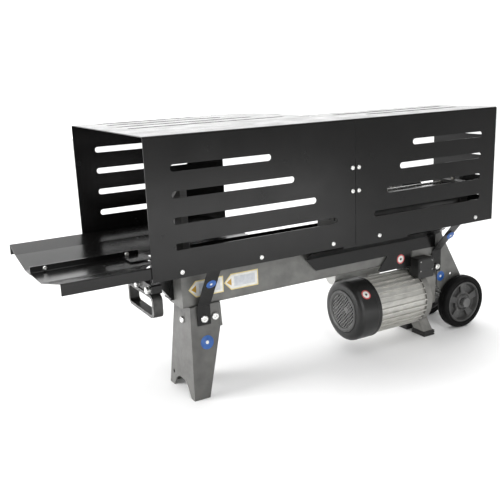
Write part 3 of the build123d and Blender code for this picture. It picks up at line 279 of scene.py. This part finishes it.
class Shape:
    """Vertices and faces collected for one piece."""

    def __init__(self):
        self.verts = []
        self.faces = []

    def lathe(self, profile, centre, axis, segments=48, closed=False):
        """Turn (along, radius) points about an axis; a third value of 6 makes that ring a hexagon."""
        side = axis.orthogonal().normalized()
        other = axis.cross(side)
        start = len(self.verts)
        for along, radius, *sides in profile:
            for k in range(segments):
                turn = math.tau * k / segments
                reach = radius
                if sides:
                    reach *= math.cos(math.pi / 6) / math.cos(turn % (math.pi / 3) - math.pi / 6)
                outwards = side * math.cos(turn) + other * math.sin(turn)
                self.verts.append(centre + axis * along + outwards * reach)
        rows = len(profile)
        for row in range(rows if closed else rows - 1):
            a, b = start + row * segments, start + (row + 1) % rows * segments
            for k in range(segments):
                j = (k + 1) % segments
                self.faces.append((a + k, a + j, b + j, b + k))
        if not closed:
            self.faces.append(tuple(start + k for k in reversed(range(segments))))
            self.faces.append(tuple(start + (rows - 1) * segments + k for k in range(segments)))

    def prism(self, outline, push):
        """Flat outline pushed along a vector."""
        start, count = len(self.verts), len(outline)
        self.verts += list(outline) + [corner + push for corner in outline]
        self.faces.append(tuple(start + k for k in reversed(range(count))))
        self.faces.append(tuple(start + count + k for k in range(count)))
        for k in range(count):
            j = (k + 1) % count
            self.faces.append((start + k, start + j, start + count + j, start + count + k))

    def bar(self, a, b, across, up):
        """Straight bar from a to b; across and up are its half sizes as vectors."""
        self.prism([a - across - up, a + across - up, a + across + up, a - across + up], b - a)

    def make(self, name, material, body="frame", bevel=0.0):
        """Turn the shape into a piece that rides on a body, with rounded edges if a bevel is given."""
        mesh = bpy.data.meshes.new(name)
        mesh.from_pydata([tuple(v) for v in self.verts], [], self.faces)
        shell = bmesh.new()
        shell.from_mesh(mesh)
        bmesh.ops.recalc_face_normals(shell, faces=shell.faces)
        shell.to_mesh(mesh)
        shell.free()
        mesh.shade_smooth()
        mesh.set_sharp_from_angle(angle=math.radians(35))
        mesh.materials.append(material)
        piece = bpy.data.objects.new(name, mesh)
        bpy.context.scene.collection.objects.link(piece)
        if bevel:
            rounding = piece.modifiers.new("rounding", "BEVEL")
            rounding.width = bevel
            rounding.segments = 2
            rounding.limit_method = "ANGLE"
        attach(piece, body)
        return piece


def islands(node):
    """Groups of connected vertices of a CAD node, as lists of points."""
    mesh = NODES[node].data
    parent = list(range(len(mesh.vertices)))

    def root(i):
        while parent[i] != i:
            parent[i] = parent[parent[i]]
            i = parent[i]
        return i

    places = {}
    for vertex in mesh.vertices:
        key = tuple(round(c, 6) for c in vertex.co)
        parent[root(vertex.index)] = root(places.setdefault(key, vertex.index))
    for edge in mesh.edges:
        parent[root(edge.vertices[0])] = root(edge.vertices[1])
    groups = {}
    for vertex in mesh.vertices:
        groups.setdefault(root(vertex.index), []).append(vertex.co.copy())
    return sorted(groups.values(), key=lambda group: tuple(round(c, 4) for c in min(group, key=tuple)))


# ------------------------------------------------------------------ screws and bolts
def flush_screw(shape, low, high):
    """Upright screw whose head lies level with the sheet."""
    radius, length = (high.x - low.x) / 2, high.z - low.z
    centre = Vector(((low.x + high.x) / 2, (low.y + high.y) / 2, low.z))
    head = [(length - 0.0003, radius), (length, radius * 0.92), (length, radius * 0.5)]
    socket = [(length - 0.0002, radius * 0.46, 6), (length - 0.0015, radius * 0.44, 6)]
    profile = [(0.0, radius * 0.8), (0.0008, radius)] + head + socket
    shape.lathe(profile, centre, Vector((0.0, 0.0, 1.0)), 36)


def fastener(shape, points):
    """Redraw one CAD fastener with a domed or hexagonal head, a drive recess and a shank."""
    low, high = limits(points)
    middle = (low + high) / 2
    mean = sum(points, Vector()) / len(points)
    lean = [abs(mean[i] - middle[i]) for i in range(3)]
    if max(lean) < 0.00005:
        flush_screw(shape, low, high)
        return
    way = lean.index(max(lean))
    axis = Vector((0.0, 0.0, 0.0))
    axis[way] = 1.0
    away = [((p - middle) - axis * (p - middle).dot(axis)).length for p in points]
    radius = max(away)
    rims = [(p - middle).dot(axis) for p, r in zip(points, away) if r > radius * 0.97]
    if sum(rims) < 0:
        axis = -axis
        rims = [-r for r in rims]
    top = max((p - middle).dot(axis) for p in points)
    seat, tail = min(rims), min((p - middle).dot(axis) for p in points)
    height = top - seat
    end_radii = [r for p, r in zip(points, away) if (p - middle).dot(axis) < tail + 0.0001]
    shank = min(r for r in end_radii if r > 0.001)
    stem = [(tail, shank * 0.8), (tail + shank * 0.2, shank), (seat, shank)]
    if max(rims) > seat + height * 0.8:
        head = [(seat, radius), (seat + height * 0.12, radius), (seat + height * 0.14, radius, 6),
                (top - height * 0.12, radius, 6), (top, radius * 0.86), (top, radius * 0.5),
                (top - height * 0.06, radius * 0.46)]
    else:
        dome = [(seat + height * (0.3 + 0.7 * math.sin(t)), radius * (0.62 + 0.38 * math.cos(t)))
                for t in (0.0, 0.4, 0.8, 1.2, math.pi / 2)]
        socket = [(top, radius * 0.46), (top - height * 0.1, radius * 0.42, 6),
                  (top - height * 0.6, radius * 0.40, 6)]
        head = [(seat, radius)] + dome + socket
    shape.lathe(stem + head, middle, axis, 36)


def fasteners():
    """Every guard screw and frame bolt."""
    for node in ("guard_screws", "frame_bolts"):
        shape = Shape()
        for points in islands(node):
            fastener(shape, points)
        piece = shape.make(node + "_heads", ZINC)
        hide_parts(node)


# ------------------------------------------------------------------ labels
ARROW_HALF = 19.5
ARROW_HEAD = 18.0
LEG_HALF_WIDTH = 69.0
LEG_LEAN = 0.1175
LEG_DISC_Z = 130.0
NEAR_TAB_FACE = Vector((0, -0.867, -0.5)).normalized()
REAR_TAB_FACE = Vector((0, -0.872, -0.49)).normalized()
SHROUD_SHEET = 2.0
FAN_DISC_TURN = math.radians(47)
BLUE_DISC = (FILM_BLUE, FILM_BLUE, FILM_WHITE)
RED_DISC = (FILM_RED, FILM_WHITE, PLASTIC)


def film(name, corners, y, lift, material):
    """Thin label on a face that looks towards -y; corners are (x, z) in millimetres."""
    shape = Shape()
    shape.prism([spot(x, y, z) for x, z in corners], Vector((0, -lift * MM, 0)))
    return shape.make(name, material, bevel=0.00012)


def arrow_outline(tip, x_end, half, head, inset=0.0):
    """Pentagon that points towards -x, its tip at (x, z)."""
    x, z = tip
    slope = inset * math.hypot(head, half) / half
    inner = half - inset
    knee = x + head + inset * 0.4
    low, high = z - inner, z + inner
    return [(x + slope, z), (knee, low), (x_end - inset, low), (x_end - inset, high), (knee, high)]


def arrow_label(name, tip, x_end, y):
    """White arrow-shaped sticker with a yellow border and an amber corner; sizes in millimetres."""
    x, z = tip
    corner = [(x + 6, z), (x + 19, z - 9), (x + 19, z + 9)]
    panel = [(x + 26, z - 12), (x_end - 9, z - 12), (x_end - 9, z + 12), (x + 26, z + 12)]
    film(name + "_border", arrow_outline(tip, x_end, ARROW_HALF, ARROW_HEAD), y, 0.25, FILM_YELLOW)
    film(name + "_face", arrow_outline(tip, x_end, ARROW_HALF, ARROW_HEAD, 2.6), y, 0.4, FILM_WHITE)
    film(name + "_corner", corner, y, 0.55, FILM_AMBER)
    film(name + "_panel", panel, y, 0.5, FILM_PALE)


def round_label(name, centre, normal, radius, colours):
    """Round sticker: a rim, a face just above it and a small dot in the middle."""
    layers = (("rim", 1.0, 0.25), ("face", 0.74, 0.4), ("dot", 0.26, 0.5))
    for (part, size, lift), material in zip(layers, colours):
        shape = Shape()
        r = radius * size * MM
        profile = [(0.0, r), (lift * MM * 0.6, r), (lift * MM, r - 0.0003)]
        shape.lathe(profile, centre, normal, 40)
        shape.make(name + "_" + part, material)


def labels():
    """Plain stickers on the beam, the leg, the tabs, the plate, the fan cover and the shroud."""
    towards_near = Vector((0, -1, 0))
    beam_y = (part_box("beam")[0].y - CORNER.y) / MM
    arrow_label("beam_sticker_left", (108, 257), 197, beam_y)
    arrow_label("beam_sticker_right", (199, 257.5), 290, beam_y)
    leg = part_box("front_leg")
    leg_face = Vector((0.0, -1.0, LEG_LEAN)).normalized()
    half = LEG_HALF_WIDTH - LEG_LEAN * LEG_DISC_Z
    middle_y = ((leg[0].y + leg[1].y) / 2 - CORNER.y) / MM
    round_label("leg_disc", spot(141, middle_y - half - 0.1, LEG_DISC_Z), leg_face, 16.5, BLUE_DISC)
    round_label("near_tab_disc", spot(143.5, 18.9, 277), NEAR_TAB_FACE, 12.0, BLUE_DISC)
    round_label("rear_tab_disc", spot(863.6, 16.8, 279.6), REAR_TAB_FACE, 12.0, BLUE_DISC)
    round_label("plate_disc", spot(875, 60.8, 154), towards_near, 14.0, BLUE_DISC)
    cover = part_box("fan_cover")
    radius = (cover[1].z - cover[0].z) / 2
    out = Vector((0.0, -math.sin(FAN_DISC_TURN), math.cos(FAN_DISC_TURN)))
    centre = (cover[0] + cover[1]) / 2 + out * (radius - 0.0001) - Vector((0.002, 0, 0))
    round_label("fan_disc", centre, out, 13.0, RED_DISC)
    shroud_y = (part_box("axle_plates")[0].y - CORNER.y) / MM - SHROUD_SHEET
    round_label("shroud_disc", spot(727, shroud_y, 228), towards_near, 13.0, RED_DISC)


# ------------------------------------------------------------------ fan cover and wheels
def fan_cover():
    """Pressed drum with a rolled shoulder, a grey ring and a grille of crossed wires."""
    low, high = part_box("fan_cover")
    radius = (high.z - low.z) / 2
    front = Vector((low.x, (low.y + high.y) / 2, (low.z + high.z) / 2))
    depth = high.x - low.x
    axis = Vector((1, 0, 0))
    wall, shoulder = 0.0028, 0.016
    ring, hole = radius * 0.70, radius * 0.56
    bead = [(depth - 0.006, radius), (depth - 0.007, radius - 0.0008), (depth - 0.010, radius - 0.0008),
            (depth - 0.011, radius)]
    roll = [(0.018 - shoulder * math.sin(t), radius - shoulder + shoulder * math.cos(t))
            for t in (0.0, 0.3, 0.6, 0.9, 1.2, math.pi / 2)]
    inner = [(0.002, ring + 0.001), (0.004, ring), (0.004, hole), (0.007, hole), (0.007, ring),
             (0.020, radius - wall)]
    shape = Shape()
    back_edge = [(depth, radius - wall), (depth, radius)]
    shape.lathe(back_edge + bead + roll + inner, front, axis, 96, closed=True)
    drum = shape.make("fan_cover_drum", PLASTIC)
    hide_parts("fan_cover")
    shape = Shape()
    profile = [(0.0042, ring - 0.0005), (0.0008, ring - 0.0010), (0.0, ring - 0.0030),
               (0.0004, hole + 0.0035), (0.0022, hole + 0.0005), (0.0055, hole - 0.0010),
               (0.0055, ring - 0.0005)]
    shape.lathe(profile, front, axis, 96, closed=True)
    shape.make("fan_cover_ring", GRILLE)
    grille_wires(front, axis, hole)


def grille_wires(front, axis, hole):
    """Two crossed layers of straight wires over the fan cover's hole."""
    shape = Shape()
    pitch, half_width, half_depth, shortest = 0.0072, 0.0008, 0.0008, 0.004
    for layer, turn in ((0.0038, math.radians(45)), (0.0042, math.radians(-45))):
        along = Vector((0, math.cos(turn), math.sin(turn)))
        across = Vector((0, -math.sin(turn), math.cos(turn)))
        for k in range(-6, 7):
            reach = math.sqrt(max(0.0, hole ** 2 - (k * pitch) ** 2))
            if reach > shortest:
                middle = front + axis * layer + across * (k * pitch)
                a, b = middle - along * reach, middle + along * reach
                shape.bar(a, b, across * half_width, axis * half_depth)
    shape.make("fan_grille", WIRE, bevel=0.0004)


def both_faces(half):
    """Profile of (along, radius) points mirrored to the other face and closed."""
    return half + [(-a, r) for a, r in reversed(half)]


def tyre(body, centre, out, radius, half_width):
    """Stepped side walls and a grooved tread; the profile is in shares of half the width and the radius."""
    side_wall = [(0.80, 0.770), (0.97, 0.785), (1.00, 0.82), (0.94, 0.835), (0.94, 0.865), (1.00, 0.88)]
    shoulder = [(0.96, 0.93), (0.84, 0.966), (0.62, 0.988), (0.36, 0.997)]
    groove = [(0.32, 0.978), (0.24, 0.978), (0.20, 1.0)]
    profile = [(a * half_width, r * radius) for a, r in both_faces(side_wall + shoulder + groove)]
    shape = Shape()
    shape.lathe(profile, centre, out, 96, closed=True)
    piece = shape.make(body + "_tyre_moulded", TYRE, body)
    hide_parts(body + "_tyre")


def hub(body, centre, out, radius, half_width):
    """Moulded rim, web and boss with five spokes on each face, in the same shares as the tyre."""
    rim = [(0.80, 0.775), (0.90, 0.765), (0.90, 0.715), (0.74, 0.70), (0.20, 0.665)]
    web = [(0.08, 0.65), (0.06, 0.40), (0.30, 0.39), (0.56, 0.385), (0.60, 0.36), (0.56, 0.325)]
    boss = [(0.42, 0.30), (0.76, 0.25), (0.80, 0.22), (0.80, 0.15), (0.60, 0.14)]
    profile = [(a * half_width, r * radius) for a, r in both_faces(rim + web + boss)]
    spokes = 5
    inner, outer = 0.34 * radius, 0.695 * radius
    shape = Shape()
    shape.lathe(profile, centre, out, 96, closed=True)
    for face in (1, -1):
        base, top = centre + out * (face * 0.03 * half_width), out * (face * 0.55 * half_width)
        for k in range(spokes):
            turn = math.tau * (k + 0.25) / spokes
            reach = Vector((math.cos(turn), 0, math.sin(turn)))
            across = Vector((-math.sin(turn), 0, math.cos(turn)))
            narrow, wide = across * 0.10 * radius, across * 0.15 * radius
            foot = [base + reach * inner + narrow, base + reach * outer + wide,
                    base + reach * outer - wide, base + reach * inner - narrow]
            shape.prism(foot, top)
    piece = shape.make(body + "_hub_moulded", GREY_PLASTIC, body, bevel=0.0012)
    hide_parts(body + "_hub")


def wheel(side):
    """Solid tyre on a five-spoke moulded hub."""
    body = "wheel_" + side
    low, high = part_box(body + "_tyre")
    centre = (low + high) / 2
    radius, half_width = (high.z - low.z) / 2, (high.y - low.y) / 2
    out = Vector((0, -1 if side == "near" else 1, 0))
    tyre(body, centre, out, radius, half_width)
    hub(body, centre, out, radius, half_width)


# ------------------------------------------------------------------ welds, pads and box lid
def welds():
    """Rippled beads where the bracket, the plates and the bed meet the beam."""
    beam_low, beam_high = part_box("beam")
    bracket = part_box("leg_bracket")
    proud, ripple, pitch, bead_length = 0.0012, 0.0011, 0.095, 0.04
    runs = []
    for y in (beam_low.y - proud, beam_high.y + proud):
        runs.append((bracket[0].x + 0.012, bracket[1].x - 0.006, y, beam_low.z))
        for k in range(5):
            x = beam_low.x + 0.07 + pitch * k
            runs.append((x, x + bead_length, y, beam_high.z - 0.001))
    shape = Shape()
    for x0, x1, y, z in runs:
        a, b = Vector((x0, y, z)), Vector((x1, y, z))
        steps = int((b - a).length / ripple)
        profile = []
        for k in range(steps + 1):
            swell = 0.0020 + 0.0005 * math.sin(k * 1.7) + 0.0002 * math.sin(k * 0.37)
            profile.append((k * ripple, swell if 0 < k < steps else 0.0009))
        shape.lathe(profile, a, (b - a).normalized(), 10)
    shape.make("beam_weld_beads", GREY)


def foot_pads():
    """Rubber feet with two grooves round each."""
    groove = 0.0016
    layers = ((0.0, 0.34, 0.0), (0.34, 0.46, groove), (0.46, 0.74, 0.0),
              (0.74, 0.84, groove), (0.84, 1.0, 0.0))
    shape = Shape()
    for points in islands("foot_pads"):
        low, high = limits(points)
        middle, half = (low + high) / 2, (high - low) / 2
        tall = high.z - low.z
        for z0, z1, inset in layers:
            a = Vector((middle.x, middle.y, low.z + tall * z0))
            b = Vector((middle.x, middle.y, low.z + tall * z1))
            shape.bar(a, b, Vector((half.x - inset, 0, 0)), Vector((0, half.y - inset, 0)))
    piece = shape.make("grooved_foot_pads", RUBBER, bevel=0.0006)
    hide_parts("foot_pads")


def box_lid():
    """Lid of the terminal box, held by four small screws."""
    low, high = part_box("terminal_box")
    margin, foot, thick, cut, screw_inset = 0.0022, 0.016, 0.0016, 0.003, 0.005
    x0, x1, z0, z1 = low.x + margin, high.x - margin, low.z + foot, high.z - margin
    outline = [(x0 + cut, z0), (x1 - cut, z0), (x1, z0 + cut), (x1, z1 - cut),
               (x1 - cut, z1), (x0 + cut, z1), (x0, z1 - cut), (x0, z0 + cut)]
    shape = Shape()
    shape.prism([Vector((x, low.y, z)) for x, z in outline], Vector((0, -thick, 0)))
    shape.make("terminal_box_lid", PLASTIC, bevel=0.0005)
    profile = [(0.0, 0.0022), (0.0006, 0.0022), (0.0011, 0.0016), (0.0011, 0.0009, 6), (0.0005, 0.0008, 6)]
    shape = Shape()
    for x in (x0 + screw_inset, x1 - screw_inset):
        for z in (z0 + screw_inset, z1 - screw_inset):
            shape.lathe(profile, Vector((x, low.y - thick, z)), Vector((0, -1, 0)), 24)
    shape.make("terminal_box_lid_screws", DARK_STEEL)


def spool_spring():
    """Wire coil under the valve spool."""
    low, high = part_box("spool_spring")
    wire = 0.0008
    centre = Vector(((low.x + high.x) / 2, (low.y + high.y) / 2, low.z + wire))
    radius, height = (high.x - low.x) / 2 - wire, high.z - low.z - 2 * wire
    turns, steps, sides = 5, 28, 8
    count = turns * steps
    climb = height / math.tau / turns
    shape = Shape()
    for k in range(count + 1):
        turn = math.tau * k / steps
        reach = Vector((math.cos(turn), math.sin(turn), 0))
        along = Vector((-math.sin(turn) * radius, math.cos(turn) * radius, climb)).normalized()
        across = along.cross(reach)
        middle = centre + reach * radius + Vector((0, 0, height * k / count))
        for j in range(sides):
            angle = math.tau * j / sides
            shape.verts.append(middle + (reach * math.cos(angle) + across * math.sin(angle)) * wire)
    for k in range(count):
        for j in range(sides):
            a, b = k * sides + j, k * sides + (j + 1) % sides
            shape.faces.append((a, b, b + sides, a + sides))
    shape.faces.append(tuple(reversed(range(sides))))
    shape.faces.append(tuple(count * sides + j for j in range(sides)))
    coil = shape.make("spool_spring_coil", STEEL)
    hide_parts("spool_spring")
    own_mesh(coil)


fasteners()
labels()
welds()
spool_spring()
foot_pads()
box_lid()
fan_cover()
wheel("near")
wheel("far")


# ------------------------------------------------------------------ stage, light, camera
# name, place, point it faces, width, height, power
LAMPS = (
    ("back_softbox", (2.4, 4.6, 1.7), (0.4, 0.0, 0.35), 9.0, 2.6, 16.0),
    ("left_softbox", (-4.0, 0.9, 1.2), (-0.2, 0.0, 0.2), 2.0, 2.0, 230.0),
    ("top_softbox", (0.3, 0.6, 4.0), (0.0, 0.0, 0.0), 6.0, 6.0, 125.0),
    ("front_strip", (0.2, -1.5, 0.06), (0.1, 0.0, 0.3), 1.6, 0.5, 4.8),
    ("front_softbox", (-0.4, -2.6, 1.5), (0.2, 0.0, 0.1), 1.4, 1.4, 26.0),
)
WORLD_LIGHT = 0.43


def stage():
    """Pale floor and a bright white backdrop behind the object."""
    bpy.ops.mesh.primitive_plane_add(size=40, location=(0, 8, CAD_BOX[0].z))
    floor = bpy.context.object
    floor.name = "floor"
    n = Nodes("pale_floor")
    tone = n.ramp(n.noise(3.0, 3.0), [(0.3, (0.90, 0.90, 0.90)), (0.7, (0.93, 0.93, 0.928))])
    n.link(tone, n.bsdf.inputs["Base Color"])
    n.bsdf.inputs["Roughness"].default_value = 0.6
    floor.data.materials.append(n.mat)
    bpy.ops.mesh.primitive_plane_add(size=60, location=(0, 7, 0), rotation=(math.pi / 2, 0, 0))
    backdrop = bpy.context.object
    backdrop.name = "backdrop"
    n = Nodes("white_backdrop")
    glow = n.ramp(n.noise(0.4, 2.0), [(0.3, (1.0, 1.0, 1.0)), (0.7, (0.99, 0.99, 0.99))])
    n.link(glow, n.bsdf.inputs["Base Color"])
    n.link(glow, n.bsdf.inputs["Emission Color"])
    n.bsdf.inputs["Emission Strength"].default_value = 1.0
    backdrop.data.materials.append(n.mat)


def lighting():
    """Even dim surroundings and the soft lamps, which the camera does not see."""
    world = bpy.data.worlds.new("studio")
    bpy.context.scene.world = world
    world.use_nodes = True
    back = world.node_tree.nodes["Background"]
    back.inputs["Color"].default_value = (1.0, 1.0, 1.0, 1.0)
    back.inputs["Strength"].default_value = WORLD_LIGHT
    for name, place, aim, width, height, power in LAMPS:
        data = bpy.data.lights.new(name, "AREA")
        data.shape = "RECTANGLE"
        data.size = width
        data.size_y = height
        data.energy = power
        lamp = bpy.data.objects.new(name, data)
        bpy.context.scene.collection.objects.link(lamp)
        lamp.location = place
        lamp.rotation_mode = "QUATERNION"
        lamp.rotation_quaternion = (Vector(aim) - Vector(place)).to_track_quat("-Z", "Y")
        lamp.visible_camera = False


SENSOR_WIDTH = 36.0
LENS = 50.96
CAMERA_RIGHT = Vector((0.86671, -0.49728, -0.03917))
CAMERA_UP = Vector((0.15623, 0.19604, 0.96807))
CAMERA_FROM_MIDDLE = Vector((-0.9217, -1.5783, 0.4283))


def camera():
    """Three-quarter view from the near left, a little above and slightly rolled."""
    low, high = CAD_BOX
    back = CAMERA_RIGHT.cross(CAMERA_UP)
    data = bpy.data.cameras.new("camera")
    data.sensor_width = SENSOR_WIDTH
    data.lens = LENS
    data.clip_start = 0.05
    data.clip_end = 100.0
    cam = bpy.data.objects.new("camera", data)
    bpy.context.scene.collection.objects.link(cam)
    turn = Matrix((CAMERA_RIGHT, CAMERA_UP, back)).transposed().to_4x4()
    cam.matrix_world = Matrix.Translation((low + high) / 2 + CAMERA_FROM_MIDDLE) @ turn
    bpy.context.scene.camera = cam


stage()
lighting()
camera()
bpy.context.scene.view_settings.view_transform = "Standard"
